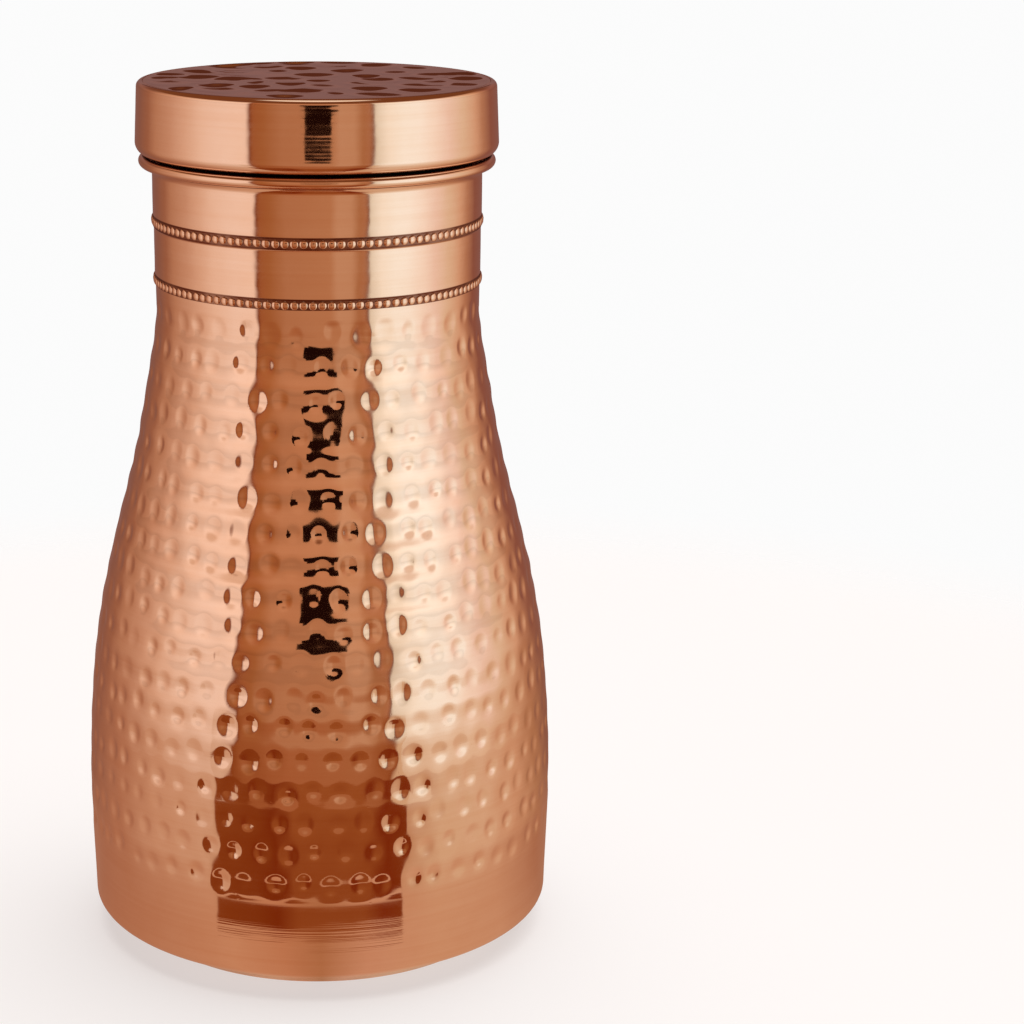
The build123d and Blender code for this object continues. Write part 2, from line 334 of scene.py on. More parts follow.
def body_relief(angles, lengths, radii, seed):
    """Depth of the hammering over the body's wall, negative inwards, by (length along wall, angle)."""
    draw = np.random.default_rng(seed)
    relief = waves(angles, lengths, seed + 1, wavelength=14 * MM, height=0.02 * MM)
    relief += waves(angles, lengths, seed + 2, wavelength=6 * MM, height=0.0025 * MM)
    rows = np.arange(lengths[0] + ROW_SPACING / 2, lengths[-1] - ROW_SPACING / 3, ROW_SPACING)
    rows += draw.uniform(-ROW_STRAY, ROW_STRAY, len(rows)) * ROW_SPACING
    turn_of_row = np.interp(lengths, rows, np.arange(len(rows)) * 2 * math.pi)
    unevenness = waves(angles, lengths, seed + 3, wavelength=22 * MM, height=0.28)
    # Low on the wall the rows step less and the marks are struck harder
    step = ROW_STEP * np.interp(lengths, [70 * MM, 95 * MM], [0.35, 1])[:, None]
    harder = np.interp(rows, [40 * MM, 95 * MM], [1.35, 1])
    relief += step * np.sin(turn_of_row)[:, None] * (1 + unevenness)
    phase = 0.0
    for row, row_force in zip(rows, harder):
        radius_here = np.interp(row, lengths, radii)
        marks = round(2 * math.pi * radius_here / MARK_SPACING)
        phase += draw.uniform(*ROW_PHASES)
        for k in range(marks):
            stray = draw.uniform(-MARK_STRAY_ROUND, MARK_STRAY_ROUND)
            angle = 2 * math.pi * (k + phase + stray) / marks
            middle = row + draw.uniform(-MARK_STRAY_UP, MARK_STRAY_UP) * ROW_SPACING
            scale = draw.uniform(*MARK_SCALES)
            force = draw.uniform(*MARK_FORCES) * row_force
            tall = draw.uniform(*MARK_TALLNESS)
            reach = HALO_RADIUS * scale
            near = np.abs(lengths - middle) < reach * tall
            turn = (angles - angle + math.pi) % (2 * math.pi) - math.pi
            beside = np.abs(turn) * radius_here < reach
            if not near.any() or not beside.any():
                continue
            patch = relief[np.ix_(near, beside)]
            across, along = (turn[beside] * radius_here)[None, :], (lengths[near] - middle)[:, None]
            add_mark(patch, across, along, MARK_RADIUS * scale, MARK_DEPTH * force, tall)
            add_mark(patch, across, along, reach, HALO_DEPTH * force, tall)
            relief[np.ix_(near, beside)] = patch
    return relief


# ---------------------------------------------------------------- materials

def new_material(name):
    """An empty node material and its node tree."""
    material = bpy.data.materials.new(name)
    material.use_nodes = True
    material.node_tree.nodes.clear()
    return material, material.node_tree


def add_node(tree, kind, settings=None, **inputs):
    """A node with its settings, and its inputs set by name to a value or linked to a socket."""
    node = tree.nodes.new(kind)
    for name, value in (settings or {}).items():
        setattr(node, name, value)
    for name, value in inputs.items():
        key = int(name[1:]) if name[0] == "i" and name[1:].isdigit() else name.replace("_", " ")
        socket = node.inputs[key]
        if isinstance(value, bpy.types.NodeSocket):
            tree.links.new(value, socket)
        else:
            socket.default_value = value
    return node


def ramp(tree, factor, stops):
    """A colour ramp's colour output, from (place, colour) stops."""
    node = add_node(tree, "ShaderNodeValToRGB", Fac=factor)
    elements = node.color_ramp.elements
    while len(elements) < len(stops):
        elements.new(0.5)
    for element, (place, colour) in zip(elements, stops):
        element.position = place
        element.color = (*colour, 1)
    return node.outputs["Color"]


def maths(tree, operation, a, b=0.0):
    """The output of a Math node."""
    return add_node(tree, "ShaderNodeMath", {"operation": operation}, i0=a, i1=b).outputs[0]


def times(tree, a, b):
    """a multiplied by b."""
    return maths(tree, "MULTIPLY", a, b)


def plus(tree, a, b):
    """a added to b."""
    return maths(tree, "ADD", a, b)


def opposite(tree, share):
    """1 minus share."""
    return maths(tree, "SUBTRACT", 1.0, share)


def distance(tree, x, y):
    """Distance from the axis."""
    return maths(tree, "SQRT", plus(tree, times(tree, x, x), times(tree, y, y)))


def span(tree, value, low, high, out_low=0.0, out_high=1.0):
    """value mapped from low..high to out_low..out_high, smoothly and clamped."""
    settings = {"interpolation_type": "SMOOTHSTEP"}
    node = add_node(
        tree, "ShaderNodeMapRange", settings, Value=value, From_Min=low, From_Max=high,
        To_Min=out_low, To_Max=out_high,
    )
    return node.outputs["Result"]


def noise(tree, vector, scale, detail, roughness):
    """A noise texture's value."""
    node = add_node(
        tree, "ShaderNodeTexNoise", Vector=vector, Scale=scale, Detail=detail, Roughness=roughness,
    )
    return node.outputs["Fac"]


def mix_colours(tree, factor, a, b, blend="MIX"):
    """A mix of two colours, each a socket or a value."""
    node = add_node(tree, "ShaderNodeMix", {"data_type": "RGBA", "blend_type": blend})
    for index, value in ((0, factor), (6, a), (7, b)):
        if isinstance(value, bpy.types.NodeSocket):
            tree.links.new(value, node.inputs[index])
        else:
            node.inputs[index].default_value = value if index == 0 else (*value, 1)
    return node.outputs[2]


def inside_band(tree, value, low, high, soft):
    """1 where value lies between low and high, with soft edges."""
    over = span(tree, value, low - soft, low + soft)
    under = span(tree, value, high - soft, high + soft, 1, 0)
    return times(tree, over, under)


# Scales of the copper's noises, per metre
CLOUD_SCALE = 26
BLOTCH_SCALE = 95
PATCH_SCALE = 260
PIT_SCALE = 520
BROAD_SCALE = 620
GROOVE_SCALE = 760
LINE_SCALE = 2600
STREAK_SCALE = 0.35 * LINE_SCALE
BRUSH_SCALE = 0.5 * LINE_SCALE
RING_SQUASH = 0.012  # how little the ring coordinates change round the axis
RING_SLANT = 0.83  # how much they change outwards, so that level faces have rings too
RELIEF_UNIT = 2.2e-6  # metres of bump for a relief of 1
CREVICE_SHADE_EDGE = 0.12 * MM


def turning_coordinates(tree):
    """Object position, distance from the axis, and a vector whose noise runs in rings round the axis."""
    place = add_node(tree, "ShaderNodeTexCoord").outputs["Object"]
    x, y, z = add_node(tree, "ShaderNodeSeparateXYZ", Vector=place).outputs
    radius = distance(tree, x, y)
    along = plus(tree, z, times(tree, radius, RING_SLANT))
    x, y = times(tree, x, RING_SQUASH), times(tree, y, RING_SQUASH)
    rings = add_node(tree, "ShaderNodeCombineXYZ", X=x, Y=y, Z=along)
    return place, radius, rings.outputs["Vector"]


def copper_relief(tree, place, rings, height, cloud, lines, brushed):
    """The bump's relief: turning lines, grooves low on the body, fine pits and brushing."""
    fine = noise(tree, rings, LINE_SCALE, 3, 0.7)
    patchy = span(tree, noise(tree, rings, PATCH_SCALE, 2, 0.6), 0.42, 0.68, 0.25, 1.0)
    broad = noise(tree, rings, BROAD_SCALE, 2, 0.6)
    pits = span(tree, noise(tree, place, PIT_SCALE, 2, 0.5), 0.22, 0.30)
    relief = times(tree, times(tree, fine, patchy), lines)
    relief = plus(tree, relief, times(tree, broad, lines * 1.6))
    grooves = noise(tree, rings, GROOVE_SCALE, 3, 0.7)
    grooves = times(tree, grooves, span(tree, cloud, 0.35, 0.6, 16, 42))
    low = span(tree, height, TURNED_TO - 1.5 * MM, TURNED_TO + 1.5 * MM, 1, 0)
    relief = plus(tree, relief, times(tree, grooves, low))
    relief = plus(tree, relief, times(tree, pits, 1.2))
    if brushed:
        brush = noise(tree, rings, BRUSH_SCALE, 4, 0.8)
        relief = plus(tree, relief, times(tree, brush, brushed * 6))
    return relief


def copper(name, light, dark, roughness, lines=1.0, brushed=0.0, shaded_crevices=(), heated=None):
    """Polished copper: slightly uneven colour and gloss, fine turning lines, fine pits.

    lines is the strength of the turning lines, brushed that of a coarser brushing over them.
    shaded_crevices lists the crevices darkened with painted shade, with some tarnish, as (lowest, highest,
    widest radius), in metres. heated is the span of heights over which an orange heat stain fades out
    upwards.
    """
    material, tree = new_material(name)
    place, radius, rings = turning_coordinates(tree)
    cloud = noise(tree, place, CLOUD_SCALE, 3, 0.55)
    blotch = noise(tree, place, BLOTCH_SCALE, 4, 0.6)
    streak = noise(tree, rings, STREAK_SCALE, 2, 0.6)
    mix = plus(tree, times(tree, cloud, 0.6), times(tree, blotch, 0.4))
    mix = plus(tree, mix, times(tree, streak, 0.5 + brushed * 0.5))
    colour = ramp(tree, span(tree, mix, 0.45, 1.05), [(0.0, dark), (1.0, light)])
    rough = span(tree, plus(tree, blotch, times(tree, streak, 0.6)), 0.45, 1.1, *roughness)
    height = add_node(tree, "ShaderNodeSeparateXYZ", Vector=place).outputs["Z"]
    if heated:
        stain = times(tree, span(tree, height, *heated, 0.8, 0), span(tree, blotch, 0.3, 0.6, 0.4, 1.0))
        colour = mix_colours(tree, stain, colour, HEAT_STAIN)
    # Painted shade, with some tarnish, darkens and dulls each of these crevices
    for low, high, widest in shaded_crevices:
        crevice = inside_band(tree, height, low, high, CREVICE_SHADE_EDGE)
        deep = span(tree, radius, widest - CREVICE_SHADE_EDGE, widest + CREVICE_SHADE_EDGE, 1, 0)
        crevice_shade_mask = times(tree, times(tree, crevice, deep), span(tree, blotch, 0.25, 0.6, 0.75, 1.0))
        colour = mix_colours(tree, crevice_shade_mask, colour, CREVICE_SHADE_COLOUR)
        rough = plus(tree, rough, times(tree, crevice_shade_mask, 0.25))

    relief = copper_relief(tree, place, rings, height, cloud, lines, brushed)
    bump = add_node(tree, "ShaderNodeBump", Strength=1.0, Distance=RELIEF_UNIT, Height=relief)
    shader = add_node(
        tree, "ShaderNodeBsdfPrincipled", Base_Color=colour, Metallic=1.0, Roughness=rough,
        Normal=bump.outputs["Normal"],
    )
    add_node(tree, "ShaderNodeOutputMaterial", Surface=shader.outputs[0])
    return material


BRIGHT_COPPER = (0.976, 0.73, 0.577)
DEEP_COPPER = (0.924, 0.636, 0.467)
# The colour of the painted crevice shade, with some tarnish
CREVICE_SHADE_COLOUR = (0.16, 0.035, 0.015)
HEAT_STAIN = (0.86, 0.27, 0.07)

# Crevices darkened with painted shade, with some tarnish, as (lowest, highest, widest radius): beside the
# beads on the collar and on the beaded wire's strip, under the roll and inside it, in the gap under the
# tumbler's wide end, and above the lip ring
COLLAR_CREVICE_SHADE = [
    (z - 1.5 * MM, z + 1.5 * MM, NECK_RADIUS + 0.13 * MM) for z in (UPPER_RING_HEIGHT, LOWER_RING_HEIGHT)
]
STRIP_CREVICE_SHADE = [
    (0.0, 1.0, COLLAR_RADIUS + 0.14 * MM),
    (UPPER_RING_HEIGHT - 2 * MM, UPPER_RING_HEIGHT + 2 * MM, NECK_RADIUS + 0.14 * MM),
]
ROLL_CREVICE_SHADE = [
    (ROLL_CENTRE[1] - 1.75 * MM, ROLL_CENTRE[1] - 0.9 * MM, ROLL_CENTRE[0] - 0.35 * MM),
    (ROLL_CENTRE[1] + 0.45 * MM, MOUTH_TOP + 1 * MM, ROLL_CENTRE[0] + 0.45 * MM),
]
GAP_CREVICE_SHADE = [(CAP_BOTTOM - 2 * MM, CAP_BOTTOM + 0.45 * MM, CAP_RADIUS)]
LIP_CREVICE_SHADE = [(LIP_HEIGHT + LIP_RING_HEIGHT - 0.3 * MM, LIP_HEIGHT + LIP_RING_HEIGHT + 0.35 * MM, 1.0)]

hammered = copper("hammered_copper", BRIGHT_COPPER, DEEP_COPPER, (0.03, 0.08))
polished = copper(
    "polished_copper", BRIGHT_COPPER, DEEP_COPPER, (0.04, 0.10), lines=2.0, shaded_crevices=COLLAR_CREVICE_SHADE + ROLL_CREVICE_SHADE,
)
cap_copper = copper("cap_copper", BRIGHT_COPPER, DEEP_COPPER, (0.04, 0.10), lines=2.0, shaded_crevices=GAP_CREVICE_SHADE)
brushed = copper(
    "brushed_copper", (0.92, 0.54, 0.34), (0.80, 0.39, 0.21), (0.10, 0.22), lines=1.5, brushed=0.8,
    shaded_crevices=LIP_CREVICE_SHADE, heated=(LIP_HEIGHT + 3 * MM, LIP_HEIGHT + 15 * MM),
)
inside = copper("inner_copper", (0.83, 0.53, 0.38), (0.69, 0.40, 0.27), (0.22, 0.36), lines=1.5)
beads = copper(
    "bead_copper", (0.955, 0.70, 0.54), (0.85, 0.545, 0.39), (0.07, 0.16), lines=0.3, shaded_crevices=STRIP_CREVICE_SHADE,
)
plain = copper("plain_copper", (0.88, 0.60, 0.44), (0.73, 0.435, 0.30), (0.18, 0.32), lines=1.2)


# ---------------------------------------------------------------- jug

def body_outside(spacing):
    """The body's outside, from the foot's edge up over the corner and the wall to the rim."""
    curve = np.array(BODY_CURVE) * MM
    corner_end = (FOOT_OUTER + CORNER_END_HEIGHT / math.tan(CORNER_SLOPE), CORNER_END_HEIGHT)
    slope = (math.cos(CORNER_SLOPE), math.sin(CORNER_SLOPE))
    corner = smooth_curve([corner_end, curve[0]], slope, BODY_RISE, 0.7 * MM)
    wall = smooth_curve(curve, BODY_RISE, (0, 1), spacing)
    return joined(corner, wall, line(wall[-1], (BODY_TOP_RADIUS, BODY_TOP - RIM_DROP), spacing))


def hammered_body():
    """The body: wall, rounded bottom corner, foot and inside, hammered on the wall."""
    spacing, coarse, steps = 0.62 * MM, 2.4 * MM, 640
    outside = body_outside(spacing)
    inside_run = (outside + leftward(outside) * SHEET)[::-1]
    picked = np.unique(np.r_[0:len(inside_run):round(coarse / spacing), len(inside_run) - 1])
    rim = [(BODY_TOP_RADIUS, BODY_TOP), (BODY_TOP_RADIUS - SHEET, BODY_TOP)]
    foot = [
        (FOOT_OUTER - SHEET * math.tan(CORNER_SLOPE / 2), SHEET), (FOOT_INNER, SHEET),
        (FOOT_INNER, 0.0), (FOOT_OUTER, 0.0),
    ]
    section = np.concatenate([outside, rim, inside_run[picked], foot])

    angles = round_angles(steps)
    radii, heights = outside.T
    lengths = np.concatenate([[0], np.cumsum(np.linalg.norm(np.diff(outside, axis=0), axis=1))])
    worked = (heights > HAMMERED_FROM) & (heights < HAMMERED_TO)
    relief = np.zeros((len(outside), steps))
    relief[worked] = body_relief(angles, lengths[worked], radii[worked], seed=7)
    fade_heights = [BODY_CURVE[0][1] * MM, HAMMERED_FROM, HAMMERED_TO, BODY_TOP - 0.5 * MM]
    relief *= np.interp(heights, fade_heights, [0, 1, 1, 0])[:, None]

    # The marks show on the inside too, pushed the same way
    push = relief[..., None] * -leftward(outside)[:, None, :]
    inner_start = len(outside) + len(rim)
    inner_end = inner_start + len(picked)
    offset = np.zeros((len(section), steps, 2))
    offset[:len(outside)] = push
    offset[inner_start:inner_end] = push[::-1][picked]
    vertices, faces = turned(section, steps, offset)
    piece = make_piece(
        "body_hammered_sheet", vertices, faces, [hammered, inside], "jug", ["body_shell"],
    )
    row = np.arange(len(faces)) // steps
    within = (row > len(outside)) & (row < inner_end)
    piece.data.polygons.foreach_set("material_index", within.astype(np.int32))
    return piece


def base_disc():
    """The dished disc on the turned-in foot."""
    low, high, steps = SHEET, 2 * SHEET, 160
    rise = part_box("base_plate")[1].z - high
    flat, out, back = PLATE_RADIUS - PLATE_FLAT, (1, 0), (-1, 0)
    section = joined(
        smooth_curve([(AXIS_HOLE, low + rise), (flat, low)], out, out, 1.2 * MM),
        [(PLATE_RADIUS, low), (PLATE_RADIUS, high)],
        smooth_curve([(flat, high), (AXIS_HOLE, high + rise)], back, back, 1.2 * MM),
    )
    vertices, faces = capped(*turned(section, steps, closed=False), steps)
    return make_piece("base_dished_disc", vertices, faces, [plain], "jug", ["base_plate"])


def on_roll(radius, angle):
    """A point round the mouth wire's middle, angle in degrees from outward."""
    turn = math.radians(angle)
    return (ROLL_CENTRE[0] + radius * math.cos(turn), ROLL_CENTRE[1] + radius * math.sin(turn))


def neck_sleeve():
    """The smooth collar: spigot, wall with its step, and the mouth rolled over the wire."""
    spacing, steps = 0.28 * MM, 540
    joint, spigot_bottom = BODY_TOP, BODY_TOP - SPIGOT_LENGTH
    body_bore, spigot_bore = BODY_TOP_RADIUS - SHEET, BODY_TOP_RADIUS - 2 * SHEET
    bore, lower_bore = NECK_RADIUS - SHEET, COLLAR_RADIUS - SHEET
    step_bottom, flare = STEP_HEIGHT - STEP_DROP, ROLL_CENTRE[1] - FLARE_HEIGHT
    up, down = (0, 1), (0, -1)
    section = joined(
        line((spigot_bore, spigot_bottom), (body_bore, spigot_bottom), spacing),
        line((body_bore, spigot_bottom), (body_bore, joint), 4 * MM),
        line((body_bore, joint), (COLLAR_RADIUS, joint), spacing),
        line((COLLAR_RADIUS, joint), (COLLAR_RADIUS, step_bottom), spacing),
        smooth_curve([(COLLAR_RADIUS, step_bottom), (NECK_RADIUS, STEP_HEIGHT)], up, up, 0.08 * MM),
        line((NECK_RADIUS, STEP_HEIGHT), (NECK_RADIUS, flare), spacing),
        smooth_curve([(NECK_RADIUS, flare), on_roll(WIRE_RADIUS, 180)], up, up, 0.25 * MM),
        arc(ROLL_CENTRE, WIRE_RADIUS, 180, ROLL_END_ANGLE, 20),
        arc(ROLL_CENTRE, ROLL_RADIUS, ROLL_END_ANGLE, 180, 44),
        smooth_curve([on_roll(ROLL_RADIUS, 180), (bore, flare)], down, down, 0.4 * MM),
        line((bore, flare), (bore, STEP_HEIGHT), 2 * MM),
        line((lower_bore, step_bottom), (lower_bore, joint + SHEET), 2 * MM),
        line((lower_bore, joint + SHEET), (spigot_bore, joint), spacing),
        line((spigot_bore, joint), (spigot_bore, spigot_bottom), 2 * MM),
    )
    angles = round_angles(steps)
    offset = np.zeros((len(section), steps, 2))
    heights = section[:, 1]
    wall = (heights > joint + 1 * MM) & (heights < flare)
    wavy = waves(angles, heights, seed=21, wavelength=9 * MM, height=0.006 * MM)
    wavy += waves(angles, heights, seed=22, wavelength=2.6 * MM, height=0.0012 * MM)
    wavy += turning_rings(angles, heights, seed=23, height=0.0017 * MM)
    offset[wall, :, 0] = wavy[wall]
    vertices, faces = turned(section, steps, offset)
    return make_piece(
        "neck_polished_collar", vertices, faces, [polished], "jug", ["neck_collar"],
    )


def rolled_wire():
    """The wire inside the rolled mouth."""
    section = arc(ROLL_CENTRE, WIRE_RADIUS, 0, 360, 16)[:-1]
    vertices, faces = turned(section, 180)
    return make_piece("mouth_roll_wire", vertices, faces, [plain], "jug", ["mouth_wire"])


def bead_shape():
    """One bead: how far its vertices are out, to the side and up, and its faces."""
    tilt = np.linspace(0, math.pi / 2, BEAD_RINGS + 1)[1:]
    turn = round_angles(BEAD_AROUND)
    out = np.concatenate([[1.0], np.repeat(np.cos(tilt), BEAD_AROUND)]) * BEAD_STANDS_OUT
    side = np.concatenate([[0.0], (np.sin(tilt)[:, None] * np.cos(turn)).ravel()]) * BEAD_HALF_WIDTH
    up = np.concatenate([[0.0], (np.sin(tilt)[:, None] * np.sin(turn)).ravel()]) * BEAD_HALF_HEIGHT
    faces = [[0, 1 + k, 1 + (k + 1) % BEAD_AROUND] for k in range(BEAD_AROUND)]
    for ring in range(BEAD_RINGS - 1):
        here, there = 1 + ring * BEAD_AROUND, 1 + (ring + 1) * BEAD_AROUND
        for k in range(BEAD_AROUND):
            after = (k + 1) % BEAD_AROUND
            faces.append([here + k, there + k, there + after, here + after])
    last_ring = 1 + (BEAD_RINGS - 1) * BEAD_AROUND
    faces.append([last_ring + k for k in reversed(range(BEAD_AROUND))])
    return out, side, up, faces


def bead_ring(name, node, seat, height):
    """Beaded wire: a thin soft-edged strip with a row of beads standing out of it, side by side."""
    half, edge = STRIP_WIDTH / 2, STRIP_THICKNESS / 2
    strip = rounded([
        (seat, height - half, 0), (seat + STRIP_THICKNESS, height - half, edge),
        (seat + STRIP_THICKNESS, height + half, edge), (seat, height + half, 0),
    ], 0.4 * MM, 3)
    vertices, faces = turned(strip, STRIP_STEPS)
    blocks, base = [vertices], len(vertices)
    out, side, up, bead_faces = bead_shape()
    out = out + seat
    draw = np.random.default_rng(round(height / MM))
    for i in range(BEAD_COUNT):
        angle = 2 * math.pi * (i + draw.uniform(-BEAD_STRAY, BEAD_STRAY)) / BEAD_COUNT
        lift = height + draw.uniform(-BEAD_LIFT, BEAD_LIFT)
        cos, sin = math.cos(angle), math.sin(angle)
        blocks.append(np.stack([out * cos - side * sin, out * sin + side * cos, up + lift], 1))
        faces += [[base + v for v in face] for face in bead_faces]
        base += len(out)
    return make_piece(name, np.concatenate(blocks), faces, [beads], "jug", [node])


# ---------------------------------------------------------------- tumbler

def tumbler_sheet():
    """The tumbler's wall, its wide smooth end and the ledge for the disc."""
    steps, spacing = 540, 0.25 * MM
    throat_bore = THROAT_RADIUS - SHEET + WALL_SLOPE * SHEET
    ledge_top = TOP - SHEET
    ledge_edge = DISC_RADIUS - DISC_LEDGE
    section = rounded([
        (LIP_WALL_RADIUS - SHEET, LIP_HEIGHT, 0.2 * MM),
        (LIP_WALL_RADIUS, LIP_HEIGHT, 0.2 * MM),
        (THROAT_RADIUS, CAP_BOTTOM, THROAT_ROUND),
        (CAP_RADIUS, CAP_BOTTOM, CAP_LOWER_ROUND),
        (CAP_TOP_RADIUS, TOP, CAP_UPPER_ROUND),
        (DISC_RADIUS, TOP, 0.06 * MM),
        (DISC_RADIUS, ledge_top, 0),
        (ledge_edge, ledge_top, 0),
        (ledge_edge, ledge_top - SHEET, 0),
        (CAP_TOP_RADIUS - SHEET, ledge_top - SHEET, CAP_UPPER_ROUND - SHEET),
        (CAP_RADIUS - SHEET, CAP_BOTTOM + SHEET, CAP_LOWER_ROUND - SHEET),
        (throat_bore, CAP_BOTTOM + SHEET, THROAT_ROUND + SHEET),
    ], spacing, 12)
    angles = round_angles(steps)
    offset = np.zeros((len(section), steps, 2))
    radii, heights = section.T
    band = (heights > CAP_BOTTOM + 3 * MM) & (heights < TOP - 2 * MM) & (radii > DISC_RADIUS)
    wavy = waves(angles, heights, seed=33, wavelength=9 * MM, height=0.004 * MM)
    wavy += waves(angles, heights, seed=34, wavelength=2.6 * MM, height=0.001 * MM)
    coarser = np.interp(heights, [CAP_BOTTOM + 5 * MM, CAP_BOTTOM + 10 * MM], [1, 0.35])[:, None]
    wavy += turning_rings(angles, heights, seed=35, height=0.004 * MM) * coarser
    offset[band, :, 0] = wavy[band]
    vertices, faces = turned(section, steps, offset)
    piece = make_piece(
        "tumbler_spun_wall", vertices, faces, [cap_copper, brushed, inside], "tumbler",
        ["tumbler_shell"],
    )
    # Outside, the wide end is polished and the drinking wall brushed; the section's second half is inside
    middle_radius, middle_height = ((section + np.roll(section, -1, axis=0)) / 2).T
    wall_radius = LIP_WALL_RADIUS + WALL_SLOPE * (middle_height - LIP_HEIGHT)
    outer = middle_radius > wall_radius - 0.3 * SHEET
    drinking_wall = outer & (middle_height < CAP_BOTTOM - 0.2 * MM)
    second_half = np.arange(len(section)) > len(section) // 2
    kind = np.where(drinking_wall, 1, np.where(second_half | ~outer, 2, 0))
    row = np.arange(len(faces)) // steps
    piece.data.polygons.foreach_set("material_index", kind[row].astype(np.int32))
    return piece


def lid_spots(draw):
    """Middles of the lid's hammer marks: spots tried at random and kept where there is room."""
    spots, half_square, reach = [], DISC_RADIUS - 2.0 * MM, DISC_RADIUS - 3.4 * MM
    for _ in range(LID_TRIES):
        spot = draw.uniform(-1, 1, 2) * half_square
        within = np.hypot(*spot) <= reach
        if within and all(np.hypot(*(spot - other)) > LID_MARK_SPACING for other in spots):
            spots.append(spot)
    return spots


def lid_relief(x, y):
    """Depth of the lid's hammering at each point, negative inwards."""
    draw = np.random.default_rng(5)
    relief = np.zeros_like(x)
    for spot in lid_spots(draw):
        turn = draw.uniform(0, math.pi)
        across = (x - spot[0]) * math.cos(turn) + (y - spot[1]) * math.sin(turn)
        along = (y - spot[1]) * math.cos(turn) - (x - spot[0]) * math.sin(turn)
        radius = draw.uniform(*LID_MARK_RADII) * MM
        depth = draw.uniform(*LID_MARK_DEPTHS) * MM
        add_mark(relief, across, along, radius, depth, draw.uniform(*LID_MARK_SHAPES))
    return relief


def hammered_disc():
    """The tumbler's closing disc, planished all over with larger, closer hammer marks."""
    steps, spacing = 420, 0.5 * MM
    radii = np.arange(spacing, DISC_RADIUS - DISC_ROUND - 0.05 * MM, spacing)[::-1]
    below = [(spacing, TOP - SHEET)] + [(DISC_RADIUS * k / 3, TOP - SHEET) for k in (1, 2, 3)]
    edge = arc((DISC_RADIUS - DISC_ROUND, TOP - DISC_ROUND), DISC_ROUND, 0, 90, 5)
    top = np.stack([radii, np.full(len(radii), TOP)], 1)
    section = np.concatenate([below, edge, top])
    angles = round_angles(steps)
    relief = lid_relief(radii[:, None] * np.cos(angles), radii[:, None] * np.sin(angles))
    # The marks fade out towards the rim
    fade = np.clip((DISC_RADIUS - 0.6 * MM - radii) / (1.6 * MM), 0, 1)
    offset = np.zeros((len(section), steps, 2))
    offset[-len(radii):, :, 1] = relief * fade[:, None]
    vertices, faces = capped(*turned(section, steps, offset, closed=False), steps)
    return make_piece(
        "lid_hammered_disc", vertices, faces, [hammered], "tumbler", ["lid_disc"],
    )


def lip_strip():
    """The strip round the drinking edge, open where its ends meet."""
    steps, top = 300, LIP_HEIGHT + LIP_RING_HEIGHT
    inner_top = LIP_WALL_RADIUS + WALL_SLOPE * LIP_RING_HEIGHT
    section = rounded([
        (LIP_WALL_RADIUS, LIP_HEIGHT, 0),
        (LIP_WALL_RADIUS + LIP_RING_THICKNESS, LIP_HEIGHT, LIP_RING_ROUND),
        (inner_top + LIP_RING_THICKNESS, top, LIP_RING_ROUND),
        (inner_top, top, 0),
    ], 0.5 * MM, 6)
    count, columns = len(section), steps + 1
    half_gap = LIP_SEAM_WIDTH / 2 / LIP_WALL_RADIUS
    angles = LIP_SEAM_ANGLE + half_gap + np.linspace(0, 2 * math.pi - 2 * half_gap, columns)
    radii, heights = section[:, None, 0], np.broadcast_to(section[:, None, 1], (count, columns))
    vertices = np.stack([radii * np.cos(angles), radii * np.sin(angles), heights], 2).reshape(-1, 3)
    row = np.arange(count)[:, None] * columns
    next_row = (np.arange(1, count + 1) % count)[:, None] * columns
    column = np.arange(steps)
    faces = np.stack([row + column, row + column + 1, next_row + column + 1, next_row + column], 2)
    faces = faces.reshape(-1, 4).tolist()
    faces.append([i * columns for i in range(count)])
    faces.append([i * columns + steps for i in reversed(range(count))])
    return make_piece(
        "lip_wrapped_strip", vertices, faces, [polished], "tumbler", ["lip_ring"],
    )


# ---------------------------------------------------------------- studio

# The room as the copper mirrors it, as (azimuth in degrees, colour): a warm softbox on the left, a white
# one on the right, each with a dark edge, a warm room between them and dusk behind. LOW is up to about
# 12 degrees above the horizon and HIGH is from about 24 degrees
ROOM_LOW = [
    (-180, (0.23, 0.11, 0.1)), (-150, (0.25, 0.11, 0.078)), (-133, (0.33, 0.14, 0.082)),
    (-121, (0.47, 0.24, 0.15)), (-104, (0.58, 0.34, 0.24)), (-90, (0.71, 0.47, 0.36)),
    (-77, (0.83, 0.62, 0.52)), (-60, (0.89, 0.71, 0.63)), (-43.9, (0.91, 0.72, 0.63)),
    (-43.2, (0.16, 0.033, 0.01)), (-42.4, (0.19, 0.044, 0.015)), (-40.5, (0.35, 0.12, 0.045)),
    (-34, (0.37, 0.14, 0.051)), (-22, (0.45, 0.21, 0.11)), (9, (0.48, 0.23, 0.12)),
    (14, (0.55, 0.31, 0.19)), (23, (0.54, 0.3, 0.18)), (28.5, (0.41, 0.18, 0.082)),
    (33.2, (0.43, 0.19, 0.1)), (35, (0.17, 0.038, 0.012)), (36.2, (0.77, 0.75, 0.66)),
    (45, (0.97, 0.99, 0.94)), (56, (1, 1.07, 1.07)), (66, (1, 1.05, 1.05)), (78, (0.96, 0.91, 0.87)),
    (90, (0.87, 0.72, 0.66)), (104, (0.75, 0.59, 0.45)), (118, (0.66, 0.41, 0.28)),
    (128, (0.46, 0.23, 0.14)), (142, (0.26, 0.1, 0.07)), (180, (0.23, 0.11, 0.1)),
]
